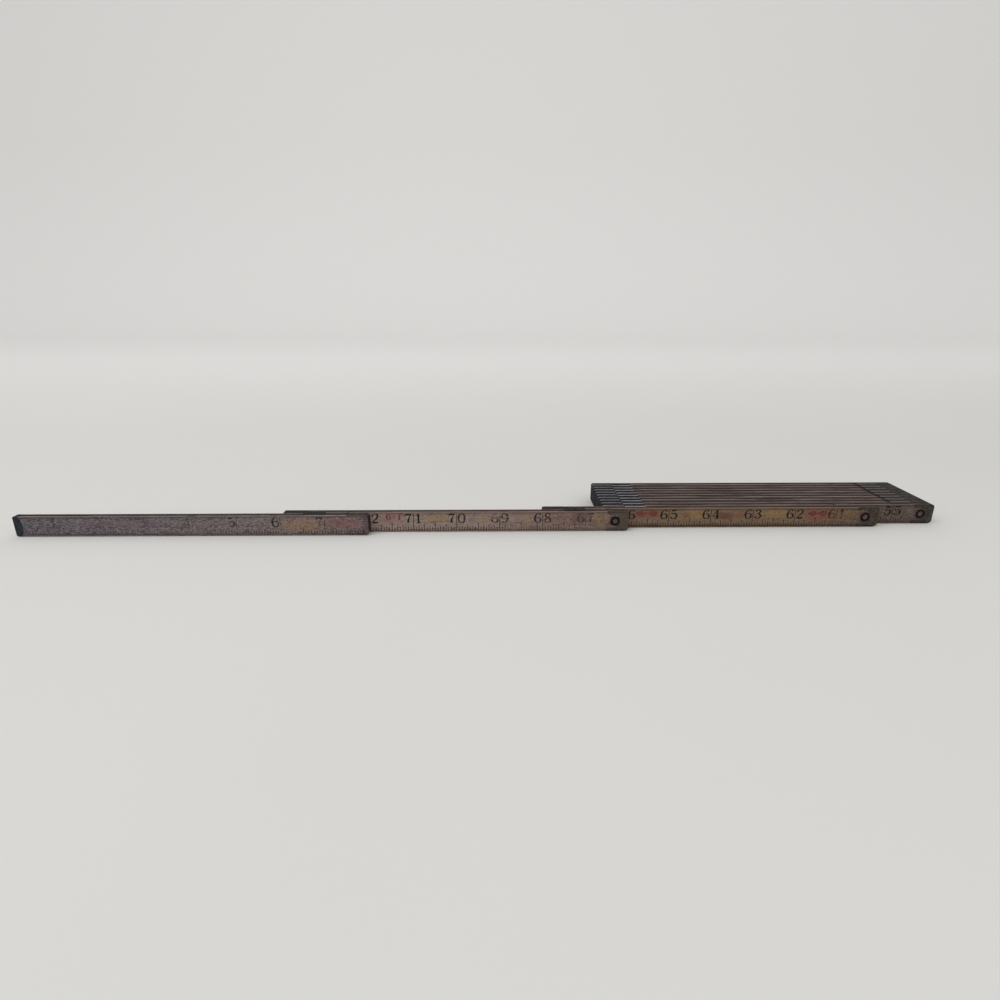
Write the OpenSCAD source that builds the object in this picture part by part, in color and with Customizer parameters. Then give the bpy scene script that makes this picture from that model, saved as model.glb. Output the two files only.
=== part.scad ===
// Sliding extension rule. Twelve wooden blades stand on edge, one behind the other, and each
// slides along the next one in sheet-metal channels that hook into a groove in its edges.
// X runs along the blades, Y from the front blade to the back one, and Z is up.
// The origin is under the middle of the whole rule, on the surface that it rests on.

/* [Blades] */
// Number of blades
blade_count = 12; // [4:1:14]
// Length of one blade, over its metal ends
blade_len = 203.2; // [150:0.1:300]
// Height of a blade, which stands on its edge
blade_h = 12; // [10.4:0.1:20]
// Thickness of a blade, over its metal cheeks
blade_t = 4.3; // [3.4:0.05:6]
// Free space between two neighbouring blades
blade_gap = 0.8; // [0.7:0.05:1.6]
// Radius of the corners at a blade's right end
right_corner_r = 2; // [1:0.1:3]
// Radius of the corners at a blade's left end
left_corner_r = 1.1; // [0.8:0.1:3]
// Depth of the wood's faces under the faces of the metal
wood_inset = 0.05; // [0.02:0.01:0.1]

/* [Position] */
// Number of front blades that are drawn out all the way
open_blades = 2; // [0:1:3]
// Distance that the next blade is drawn out
part_draw = 37; // [0:0.1:90]

/* [Fittings] */
// Thickness of the sheet metal
sheet = 0.35; // [0.3:0.05:0.5]
// Length of a cap, which wraps the end of a blade
cap_len = 12.7; // [11:0.1:20]
// Length of a channel, which grips the neighbouring blade
channel_len = 12.7; // [8:0.1:25]
// Running clearance between a channel and the edge that it slides on
edge_clear = 0.12; // [0.06:0.02:0.2]
// Clearance left at each stop
stop_clear = 0.1; // [0.05:0.05:0.2]
// Width of the metal strips above and below the round wooden tongue on a cap
cheek_strip = 2; // [1.2:0.1:2.2]
// Distance from the end of a blade to its round wooden tongue
tongue_setback = 4.6; // [4:0.1:4.7]

/* [Edge grooves] */
// Depth that a channel's lip reaches into the groove
lip_depth = 0.6; // [0.4:0.05:1]
// Clearance under a lip
lip_tip_clear = 0.25; // [0.1:0.05:0.4]
// Clearance between a lip and the side of the groove
lip_side_clear = 0.15; // [0.1:0.05:0.2]
// Clearance between two lips that pass in one groove
lip_pass_clear = 0.3; // [0.2:0.05:0.4]

/* [Tip cap] */
// Radius of the tip cap's corners
tip_corner_r = 0.7; // [0.6:0.1:2.5]
// Length of the tip cap on the edges of the front blade
tip_edge_len = 3; // [2.5:0.1:6]
// Bulge of the tip cap's cheeks past that length
tip_bulge = 1.8; // [0.5:0.1:2.5]
// Distance from the tip to the pin through the cap
tip_pin_setback = 2.4; // [1.6:0.1:3]
// Diameter of that pin
tip_pin_d = 1.2; // [0.8:0.1:1.4]

/* [Eyelets] */
// Distance from the end of a blade to its eyelet
eyelet_setback = 7.8; // [7.6:0.1:8.4]
// Diameter of an eyelet's shank
shank_d = 4; // [3:0.1:4.4]
// Diameter of an eyelet's rolled head
head_d = 5.8; // [5:0.1:6.2]
// Height of a head above the face of the metal
head_h = 0.3; // [0.2:0.02:0.3]
// Wall of the shank round the dish in its end
shank_wall = 0.3; // [0.2:0.05:0.6]
// Depth of that dish
dish_depth = 0.5; // [0.3:0.05:0.8]
// Clearance round a shank in its hole
shank_clear = 0.02; // [0.01:0.01:0.05]
// Wood left in front of the blind rivet of the front blade
blind_wall = 1; // [0.6:0.1:1.5]

/* [Hidden] */
$fn = 64;
WOOD = "#7d6249";
METAL = "#55564f";
RING = "#2f2f2c";
cut = 1;
pitch = blade_t + blade_gap;
reach = cap_len + channel_len;
travel = blade_len - 2 * reach;
channel_start = cap_len + stop_clear;
channel_end = reach - stop_clear / 2;
rise = edge_clear + sheet;
flange_out = blade_gap + blade_t / 2 - lip_pass_clear / 2;
groove_w = lip_pass_clear + 2 * (sheet + lip_side_clear);
groove_depth = lip_depth + lip_tip_clear;
tongue_r = blade_h / 2 - cheek_strip;
dish_d = shank_d - 2 * shank_wall;
tip_cheek_r = ((blade_h / 2) * (blade_h / 2) + tip_bulge * tip_bulge) / (2 * tip_bulge);
tip_cheek_len = tip_edge_len + tip_bulge;
mid_z = blade_h / 2;

// Distance that blade i is drawn out of the blade behind it
function draw(i) = i <= open_blades ? travel : i == open_blades + 1 ? part_draw : 0;
// Left end of blade i, counted from the left end of the last blade
function left_end(i) = i >= blade_count ? 0 : left_end(i + 1) - draw(i);
function node_name(kind, i) = str(kind, "_", i < 10 ? "0" : "", i);

whole_left = left_end(1);
whole_back = (blade_count - 1) * pitch + blade_t + head_h;
middle_x = (whole_left + blade_len) / 2;
middle_y = whole_back / 2;

// Moves a piece drawn on a blade with its front left corner at zero to blade i's place
module on_blade(i) {
    translate([left_end(i) - middle_x, (i - 1) * pitch - middle_y, rise])
        children();
}

// Turns a left end half a turn about the upright axis through the blade's middle
module turned() {
    translate([blade_len, blade_t, 0])
        rotate([0, 0, 180])
            children();
}

// Raises a drawing in X and Z to a plate that reaches from y0 to y1
module plate(y0, y1) {
    translate([0, y1, 0])
        rotate([90, 0, 0])
            linear_extrude(y1 - y0)
                children();
}

// Outline of a blade's left end, from its end at x0 to x1, between heights z0 and z1
module end_outline(x0, x1, z0, z1, r) {
    intersection() {
        union() {
            translate([x0 + r, z0])
                square([x1 - x0, z1 - z0]);
            translate([x0, z0 + r])
                square([x1 - x0, z1 - z0 - 2 * r]);
            for (z = [z0 + r, z1 - r])
                translate([x0 + r, z])
                    circle(r);
        }
        translate([x0, z0])
            square([x1 - x0, z1 - z0]);
    }
}

module inner_outline(x1, r) {
    end_outline(sheet, x1, sheet, blade_h - sheet, r - sheet);
}

module outer_outline(x1, r) {
    end_outline(0, x1, 0, blade_h, r);
}

// Strip of metal, let in flush, over the top of a blade's end, round it and back below
module rim(len, r) {
    plate(0, blade_t)
        difference() {
            outer_outline(len, r);
            inner_outline(len + cut, r);
        }
}

// Cheek of a cap, cut out round the wooden tongue that the eyelet stands in
module tongue_cheek(r) {
    difference() {
        outer_outline(cap_len, r);
        translate([tongue_setback + tongue_r, mid_z])
            circle(tongue_r);
        translate([tongue_setback + tongue_r, mid_z - tongue_r])
            square([cap_len, 2 * tongue_r]);
    }
}

// Cheek of the tip cap, with its round inner edge
module tip_cheek() {
    intersection() {
        outer_outline(tip_cheek_len + cut, tip_corner_r);
        translate([tip_cheek_len - tip_cheek_r, mid_z])
            circle(tip_cheek_r);
    }
}

// Round hole or pin along Y, from y0 to y1
module cross_round(x, d, y0, y1) {
    translate([x, y1, mid_z])
        rotate([90, 0, 0])
            cylinder(d = d, h = y1 - y0);
}

module eyelet_hole() {
    cross_round(eyelet_setback, shank_d + 2 * shank_clear, -cut, blade_t + cut);
}

// Hooked edge of a channel, over the neighbour's top edge
module hook() {
    long = channel_end - channel_start;
    translate([channel_start, -flange_out, blade_h + edge_clear])
        cube([long, flange_out + sheet, sheet]);
    translate([channel_start, -flange_out, blade_h - lip_depth])
        cube([long, sheet, lip_depth + rise]);
}

// Channel that grips the blade in front of a left end
module channel(r) {
    plate(0, sheet) {
        outer_outline(channel_end, r);
        translate([channel_start, -rise])
            square([channel_end - channel_start, blade_h + 2 * rise]);
    }
    hook();
    translate([0, 0, blade_h])
        mirror([0, 0, 1])
            hook();
}

// Fitting of one end: the cap and the channel are one folded sheet
module end_fitting(cheek, r) {
    difference() {
        union() {
            rim(cap_len, r);
            channel(r);
        }
        eyelet_hole();
    }
    if (cheek)
        plate(blade_t - sheet, blade_t)
            tongue_cheek(r);
}

// Eyelet with a head on the metal face and one on the wood face
module eyelet() {
    difference() {
        union() {
            cross_round(eyelet_setback, shank_d, -head_h, blade_t + head_h);
            cross_round(eyelet_setback, head_d, -head_h, 0);
            cross_round(eyelet_setback, head_d, blade_t - wood_inset, blade_t + head_h);
        }
        cross_round(eyelet_setback, dish_d, -cut, dish_depth - head_h);
        cross_round(eyelet_setback, dish_d, blade_t + head_h - dish_depth, blade_t + cut);
    }
}

// Recess for the rim of a cap in the wood of a left end
module rim_recess(len, r) {
    plate(-cut, blade_t + cut)
        difference() {
            translate([-cut, -cut])
                square([len + cut, blade_h + 2 * cut]);
            inner_outline(len + cut, r);
        }
}

// Recess for a channel fitting in the wood of a left end
module fitting_recess(cheek, r) {
    rim_recess(cap_len, r);
    plate(-cut, sheet)
        translate([-cut, -cut])
            square([channel_end + cut, blade_h + 2 * cut]);
    if (cheek)
        plate(blade_t - sheet, blade_t + cut)
            tongue_cheek(r);
}

module wood_blank(left_r) {
    plate(wood_inset, blade_t - wood_inset) {
        outer_outline(blade_len / 2 + cut, left_r);
        translate([blade_len, 0])
            mirror([1, 0])
                outer_outline(blade_len / 2 + cut, right_corner_r);
    }
}

module edge_grooves() {
    for (z = [-cut, blade_h - groove_depth])
        translate([0, (blade_t - groove_w) / 2, z])
            cube([blade_len, groove_w, groove_depth + cut]);
}

// Wood of blade i, recessed for the fittings that it carries
module blade(i) {
    color(WOOD)
        on_blade(i)
            difference() {
                wood_blank(i == 1 ? tip_corner_r : left_corner_r);
                edge_grooves();
                if (i == 1) {
                    rim_recess(tip_edge_len, tip_corner_r);
                    for (y = [-cut, blade_t - sheet])
                        plate(y, y + sheet + cut)
                            tip_cheek();
                    cross_round(tip_pin_setback, tip_pin_d, -cut, blade_t + cut);
                    turned()
                        cross_round(eyelet_setback, shank_d + 2 * shank_clear, -cut, blade_t - blind_wall);
                } else {
                    fitting_recess(true, left_corner_r);
                    eyelet_hole();
                    turned()
                        eyelet_hole();
                }
                turned()
                    if (i < blade_count) {
                        fitting_recess(i > 1, right_corner_r);
                    } else {
                        rim_recess(cap_len, right_corner_r);
                        for (y = [-cut, blade_t - sheet])
                            plate(y, y + sheet + cut)
                                tongue_cheek(right_corner_r);
                    }
            }
}

module tip_cap() {
    color(METAL)
        on_blade(1)
            difference() {
                union() {
                    rim(tip_edge_len, tip_corner_r);
                    for (y = [0, blade_t - sheet])
                        plate(y, y + sheet)
                            tip_cheek();
                }
                cross_round(tip_pin_setback, tip_pin_d, -cut, blade_t + cut);
            }
}

module tip_pin() {
    color(METAL)
        on_blade(1)
            cross_round(tip_pin_setback, tip_pin_d, 0, blade_t);
}

module blind_rivet() {
    color(RING)
        on_blade(1)
            turned()
                difference() {
                    union() {
                        cross_round(eyelet_setback, shank_d, -head_h, blade_t - blind_wall);
                        cross_round(eyelet_setback, head_d, -head_h, 0);
                    }
                    cross_round(eyelet_setback, dish_d, -cut, dish_depth - head_h);
                }
}

module left_channel(i) {
    color(METAL)
        on_blade(i)
            end_fitting(true, left_corner_r);
}

module right_channel(i) {
    color(METAL)
        on_blade(i)
            turned()
                end_fitting(i > 1, right_corner_r);
}

module heel_cap() {
    color(METAL)
        on_blade(blade_count)
            turned() {
                rim(cap_len, right_corner_r);
                for (y = [0, blade_t - sheet])
                    plate(y, y + sheet)
                        tongue_cheek(right_corner_r);
            }
}

module eyelets(i) {
    color(RING)
        on_blade(i) {
            eyelet();
            turned()
                eyelet();
        }
}

for (i = [1 : blade_count]) {
    blade(i);
}
tip_cap();
tip_pin();
blind_rivet();
for (i = [2 : blade_count]) {
    left_channel(i);
}
for (i = [1 : blade_count - 1]) {
    right_channel(i);
}
heel_cap();
for (i = [2 : blade_count]) {
    eyelets(i);
}
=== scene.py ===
"""Dresses the sliding extension rule: worn printed blades, tarnished end fittings and eyelets."""

import logging
import math
from dataclasses import dataclass, field
from enum import Enum

import bmesh
import bpy
from mathutils import Matrix, Vector


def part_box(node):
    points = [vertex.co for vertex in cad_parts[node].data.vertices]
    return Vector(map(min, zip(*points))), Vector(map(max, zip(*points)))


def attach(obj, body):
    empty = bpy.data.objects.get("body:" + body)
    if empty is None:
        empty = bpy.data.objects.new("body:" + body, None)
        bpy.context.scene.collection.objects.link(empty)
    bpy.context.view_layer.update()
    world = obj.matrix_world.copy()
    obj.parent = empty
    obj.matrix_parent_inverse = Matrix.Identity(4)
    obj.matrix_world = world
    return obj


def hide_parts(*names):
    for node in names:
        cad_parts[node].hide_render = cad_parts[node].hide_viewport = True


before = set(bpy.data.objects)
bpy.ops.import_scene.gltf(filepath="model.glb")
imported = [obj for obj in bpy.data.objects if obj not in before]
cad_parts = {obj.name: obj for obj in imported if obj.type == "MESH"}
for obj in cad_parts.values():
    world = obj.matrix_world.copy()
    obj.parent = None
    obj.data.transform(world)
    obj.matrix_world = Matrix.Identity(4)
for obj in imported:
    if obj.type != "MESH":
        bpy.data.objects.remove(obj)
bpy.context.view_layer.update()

LOG = logging.getLogger("rule")
MM = 0.001
INCH = 0.0254
IMAGE_SIDE = 1000
SENSOR_MM = 36.0
BLADE_COUNT = 12

Colour = tuple[float, float, float, float]
Stop = tuple[float, Colour]
Stroke = tuple[tuple[int, int, int], ...]
Shape = bmesh.types.BMesh
Socket = bpy.types.NodeSocket
Tree = bpy.types.NodeTree
Material = bpy.types.Material
Outputs = bpy.types.bpy_prop_collection

ORIGIN = (0.0, 0.0, 0.0)
# Where the masks on the blades' upper edges start and end, and how deep the print lies.
RAISED_BY = 0.1 * MM
LINE_CORE = 0.5 * MM
LINE_EDGE = 1.3 * MM
SHADE_START = 2.3 * MM
SHADE_END = 3.6 * MM
MOUTH_SETBACK = 26.0 * MM
MOUTH_EDGE = 1.5 * MM
MOUTH_CORE = 0.7 * MM
PRINT_DEPTH = 0.046 * MM
SIXTEENTHS = 16
BLADE_INCHES = 8
TRAVEL_INCHES = 6


def tone(red: float, green: float, blue: float) -> Colour:
    """Returns a colour as it looks on a screen, with parts from 0 to 255, in linear light."""
    parts = [part / 255.0 for part in (red, green, blue)]
    return (*(part / 12.92 if part <= 0.04045 else ((part + 0.055) / 1.055) ** 2.4 for part in parts), 1.0)


# Colours, and values of single blades, counted from the front one.
# Painted shade in the groove along the middle of each blade's top edge.
GROOVE_SHADE = tone(20, 16, 15)
SHADE_DARK = tone(24, 17, 17)
# Painted shadow line where each right channel ends on the top of the wood.
MOUTH_SHADOW = tone(12, 10, 10)
# Light line along each front arris of the tops, partly worn and partly painted highlight.
RUBBED_HIGHLIGHT_LINE = tone(148, 134, 132)
BARE_WOOD = tone(62, 50, 44)
TONE_LIFT = (1.07, 1.07, 1.1, 1.0)
METAL_TINT = (0.3, 0.3, 0.32, 1.0)
SMUDGE = tone(84, 74, 69)
SMUDGES = {1: tone(78, 68, 70), 2: tone(98, 84, 78), 3: tone(82, 68, 60), 4: tone(72, 64, 60)}
STACK_RIDGES = (0.55, 0.6, 0.85, 0.9, 0.7, 0.95, 0.9, 0.7, 0.6)
EVEN_FADE = ((0.0, 0.3), (1.0, 0.3))
FADES = {
    1: ((0.0, 1.0), (0.45, 0.8), (0.6, 0.5), (1.0, 0.4)),
    2: ((0.0, 0.0), (0.42, 0.05), (0.6, 0.25), (0.85, 0.45), (1.0, 0.9)),
    3: ((0.0, 0.0), (0.8, 0.0), (0.86, 0.45), (1.0, 0.8)),
}


class Side(Enum):
    """Face of a blade that carries a scale."""

    FRONT = "front"
    BACK = "back"


@dataclass
class Wiring:
    """Adds shader nodes to one node tree and joins them."""

    tree: Tree

    def feed(self, socket: Socket, value: object) -> None:
        """Links or sets one input.

        Args:
            socket: The input.
            value: Another node's output, or a plain value.
        """
        if isinstance(value, Socket):
            self.tree.links.new(value, socket)
        else:
            socket.default_value = value

    def add(self, kind: str, inputs: dict | None = None, **settings: object) -> bpy.types.Node:
        """Adds a node.

        Args:
            kind: Blender's name of the node type.
            inputs: Values or outputs for its inputs, by name or number.
            settings: Its other settings.

        Returns:
            The new node.
        """
        node = self.tree.nodes.new(kind)
        for key, value in settings.items():
            setattr(node, key, value)
        self.fill(node, inputs or {})
        return node

    def fill(self, node: bpy.types.Node, inputs: dict) -> None:
        """Links or sets several inputs of one node, by name or number."""
        for key, value in inputs.items():
            self.feed(node.inputs[key], value)

    def math(self, operation: str, first: object, second: object = 0.0, clamp: bool = False) -> Socket:
        """Returns a Math node's result, kept between 0 and 1 if clamp is set."""
        return self.add("ShaderNodeMath", {0: first, 1: second}, operation=operation, use_clamp=clamp).outputs[0]

    def times(self, first: object, second: object, clamp: bool = False) -> Socket:
        """Returns one value times another, kept between 0 and 1 if clamp is set."""
        return self.math("MULTIPLY", first, second, clamp)

    def plus(self, first: object, second: object) -> Socket:
        """Returns one value plus another."""
        return self.math("ADD", first, second)

    def minus(self, first: object, second: object) -> Socket:
        """Returns one value less another."""
        return self.math("SUBTRACT", first, second)

    def mix(self, factor: object, under: object, over: object, blend: str = "MIX") -> Socket:
        """Returns two colours blended, with this share of the upper one."""
        inputs = {0: factor, 6: under, 7: over}
        return self.add("ShaderNodeMix", inputs, data_type="RGBA", blend_type=blend).outputs[2]

    def span(self, value: object, low: object, high: object, start: object = 0.0, end: object = 1.0) -> Socket:
        """Returns a value mapped smoothly from low and high onto start and end."""
        ends = {"Value": value, "From Min": low, "From Max": high, "To Min": start, "To Max": end}
        return self.add("ShaderNodeMapRange", ends, interpolation_type="SMOOTHSTEP").outputs[0]

    def share(self, value: object, low: object, high: object) -> Socket:
        """Returns how far a value has come from low to high, from 0 to 1."""
        return self.add("ShaderNodeMapRange", {"Value": value, "From Min": low, "From Max": high}).outputs[0]

    def stretch(self, vector: object, x: float, y: float, z: float, shift: object = ORIGIN) -> Socket:
        """Returns a position scaled by its own factor along each axis, and then shifted."""
        inputs = {0: vector, 1: (x, y, z), 2: shift}
        return self.add("ShaderNodeVectorMath", inputs, operation="MULTIPLY_ADD").outputs[0]

    def noise(self, vector: object, detail: float, roughness: float, distortion: float = 0.0) -> Socket:
        """Returns a noise of scale 1, from 0 to 1, with this many octaves."""
        inputs = {"Vector": vector, "Scale": 1.0, "Detail": detail, "Roughness": roughness, "Distortion": distortion}
        return self.add("ShaderNodeTexNoise", inputs).outputs[0]

    def bump(self, height: object, strength: float, distance: float) -> Socket:
        """Returns a normal that a height has bent."""
        return self.add("ShaderNodeBump", {"Height": height, "Strength": strength, "Distance": distance}).outputs[0]

    def ramp(self, value: object, stops: tuple[Stop, ...]) -> Socket:
        """Adds a colour ramp.

        Args:
            value: Where it is read, from 0 to 1.
            stops: Places and colours.

        Returns:
            The colour.
        """
        node = self.add("ShaderNodeValToRGB", {0: value})
        points = node.color_ramp.elements
        for number, (place, colour) in enumerate(stops):
            point = points[number] if number < 2 else points.new(place)
            point.position = place
            point.color = colour
        return node.outputs[0]

    def split(self, vector: object) -> Outputs:
        """Returns the three parts of a position."""
        return self.add("ShaderNodeSeparateXYZ", {0: vector}).outputs

    def group(self, tree: Tree, inputs: dict) -> Outputs:
        """Places a shared node group and returns its outputs."""
        return self.add("ShaderNodeGroup", inputs, node_tree=tree).outputs


@dataclass
class Shared:
    """One shader node group while it is being built, with a number or a position as each input."""

    name: str
    inputs: dict[str, float | tuple[float, float, float]]
    wiring: Wiring = field(init=False)
    given: Outputs = field(init=False)

    def __post_init__(self) -> None:
        """Makes the tree with its named inputs."""
        tree = bpy.data.node_groups.new(self.name, "ShaderNodeTree")
        for name, value in self.inputs.items():
            kind = "NodeSocketFloat" if isinstance(value, float) else "NodeSocketVector"
            tree.interface.new_socket(name=name, in_out="INPUT", socket_type=kind).default_value = value
        self.wiring = Wiring(tree)
        self.given = tree.nodes.new("NodeGroupInput").outputs

    def close(self, values: dict[str, Socket]) -> Tree:
        """Joins the results to the group's named outputs.

        Args:
            values: Result for each output, all of them numbers.

        Returns:
            The finished group.
        """
        tree = self.wiring.tree
        for name in values:
            tree.interface.new_socket(name=name, in_out="OUTPUT", socket_type="NodeSocketFloat")
        result = tree.nodes.new("NodeGroupOutput")
        for name, value in values.items():
            tree.links.new(value, result.inputs[name])
        return tree


def grain_group() -> Tree:
    """Builds the wood's lengthwise fibres, streaks, blotches and specks.

    Returns:
        The group.
    """
    shared = Shared("grain", {"Vector": ORIGIN, "Seed": ORIGIN})
    wire, given = shared.wiring, shared.given

    def layer(along: float, across: float, detail: float, roughness: float, distortion: float = 0.0) -> Socket:
        """Returns one noise layer of its own scale along and across the blade."""
        place = wire.stretch(given["Vector"], along, across, across, given["Seed"])
        return wire.noise(place, detail, roughness, distortion)

    return shared.close({
        "Fibre": layer(190.0, 2300.0, 3.0, 0.6),
        "Streak": layer(34.0, 1100.0, 3.0, 0.6, 0.4),
        "Blotch": layer(85.0, 230.0, 3.0, 0.6, 0.8),
        "Speck": layer(640.0, 1500.0, 5.0, 0.74),
    })


def edges_group() -> Tree:
    """Builds the masks of a blade's long arrises, its bands, the light lines along the front arrises of the blades'
    tops, partly worn and partly painted highlight, and the painted shade between the blades' tops.

    Returns:
        The group.
    """
    shared = Shared("long_edges", {
        "Vector": ORIGIN, "First": 0.0, "Pitch": 0.0051, "Depth": 0.0043, "Bottom": 0.0, "Top": 0.0125,
        "Arris": 0.0005, "Band": 0.002, "Fold": 0.0023,
    })
    wire, given = shared.wiring, shared.given
    place = wire.split(given["Vector"])
    start = wire.minus(place["Y"], given["First"])
    across = wire.math("FLOORED_MODULO", start, given["Pitch"])
    near = wire.math("ABSOLUTE", wire.math("MINIMUM", across, wire.minus(given["Depth"], across)))
    up = wire.minus(given["Top"], place["Z"])
    down = wire.minus(place["Z"], given["Bottom"])
    height = wire.math("ABSOLUTE", wire.math("MINIMUM", up, down))
    raised = wire.math("GREATER_THAN", place["Z"], wire.plus(given["Top"], RAISED_BY))
    ridge = wire.times(raised, given["Fold"])
    past = wire.math("FLOORED_MODULO", wire.minus(start, ridge), given["Pitch"])
    beside = wire.math("MINIMUM", past, wire.minus(given["Pitch"], past))
    return shared.close({
        "Line": wire.span(beside, LINE_EDGE, LINE_CORE),
        "Shade": wire.span(past, SHADE_START, SHADE_END),
        "Raised": raised,
        "Arris": wire.span(wire.plus(near, height), given["Arris"], 0.0),
        "Upper": wire.span(up, given["Band"], 0.0),
        "Lower": wire.span(down, given["Band"], 0.0),
        "Across": wire.math("DIVIDE", across, given["Depth"]),
    })


def patina_group() -> Tree:
    """Builds the clouds, scratches and pits of old plated metal.

    Returns:
        The group.
    """
    shared = Shared("patina", {"Vector": ORIGIN, "Seed": ORIGIN})
    wire, given = shared.wiring, shared.given
    vector, seed = given["Vector"], given["Seed"]
    return shared.close({
        "Cloud": wire.noise(wire.stretch(vector, 330.0, 330.0, 330.0, seed), 4.0, 0.62, 0.6),
        "Scratch": wire.noise(wire.stretch(vector, 260.0, 5200.0, 4200.0, seed), 2.0, 0.7),
        "Pit": wire.noise(wire.stretch(vector, 1500.0, 1500.0, 1500.0, seed), 2.0, 0.6),
    })


def spot_group() -> Tree:
    """Builds the ragged mask of a smear, or of a painted shadow line, round one place on a blade's face.

    Returns:
        The group.
    """
    shared = Shared("smear", {"Vector": ORIGIN, "X": 0.0, "Z": 0.008, "Long": 0.01, "High": 0.003, "Ragged": 1.1})
    wire, given = shared.wiring, shared.given
    place = wire.split(given["Vector"])
    x = wire.math("DIVIDE", wire.minus(place["X"], given["X"]), given["Long"])
    z = wire.math("DIVIDE", wire.minus(place["Z"], given["Z"]), given["High"])
    far = wire.plus(wire.times(x, x), wire.times(z, z))
    rough = wire.noise(wire.stretch(given["Vector"], 320.0, 900.0, 900.0), 3.0, 0.65)
    edge = wire.times(wire.minus(rough, 0.5), given["Ragged"])
    return shared.close({"Mask": wire.span(wire.plus(far, wire.times(edge, 4.0)), 1.3, 0.25)})


@dataclass(frozen=True)
class Groups:
    """The shader node groups that several finishes use."""

    grain: Tree
    edges: Tree
    patina: Tree
    spot: Tree


@dataclass(frozen=True)
class Stain:
    """A coloured smear on a blade's face, or a painted shadow line, in mm from the blade's left end and its lower
    edge.
    """

    at: float
    height: float
    long: float
    high: float
    red: float
    green: float
    blue: float
    strength: float


@dataclass(frozen=True)
class Gauge:
    """Where a blade lies: what its finish needs to find its edges."""

    left: float
    right: float
    first: float
    pitch: float
    depth: float
    bottom: float
    top: float

    def edge_inputs(self, vector: Socket, arris: float, band: float) -> dict:
        """Returns the inputs of the long edges group."""
        return {"Vector": vector, "First": self.first, "Pitch": self.pitch, "Depth": self.depth,
                "Bottom": self.bottom, "Top": self.top, "Arris": arris, "Band": band}


def ramp_of(*rows: tuple[float, float, float, float]) -> tuple[Stop, ...]:
    """Returns a colour ramp's stops from rows of place, red, green and blue."""
    return tuple((place, tone(*parts)) for place, *parts in rows)


def start_material(name: str) -> tuple[Material, Wiring, bpy.types.Node, bpy.types.Node]:
    """Starts a node material.

    Args:
        name: Its name.

    Returns:
        The material, its nodes, its shader and its texture coordinates.
    """
    material = bpy.data.materials.new(name)
    material.use_nodes = True
    wire = Wiring(material.node_tree)
    shader = material.node_tree.nodes["Principled BSDF"]
    return material, wire, shader, wire.add("ShaderNodeTexCoord")


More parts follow.
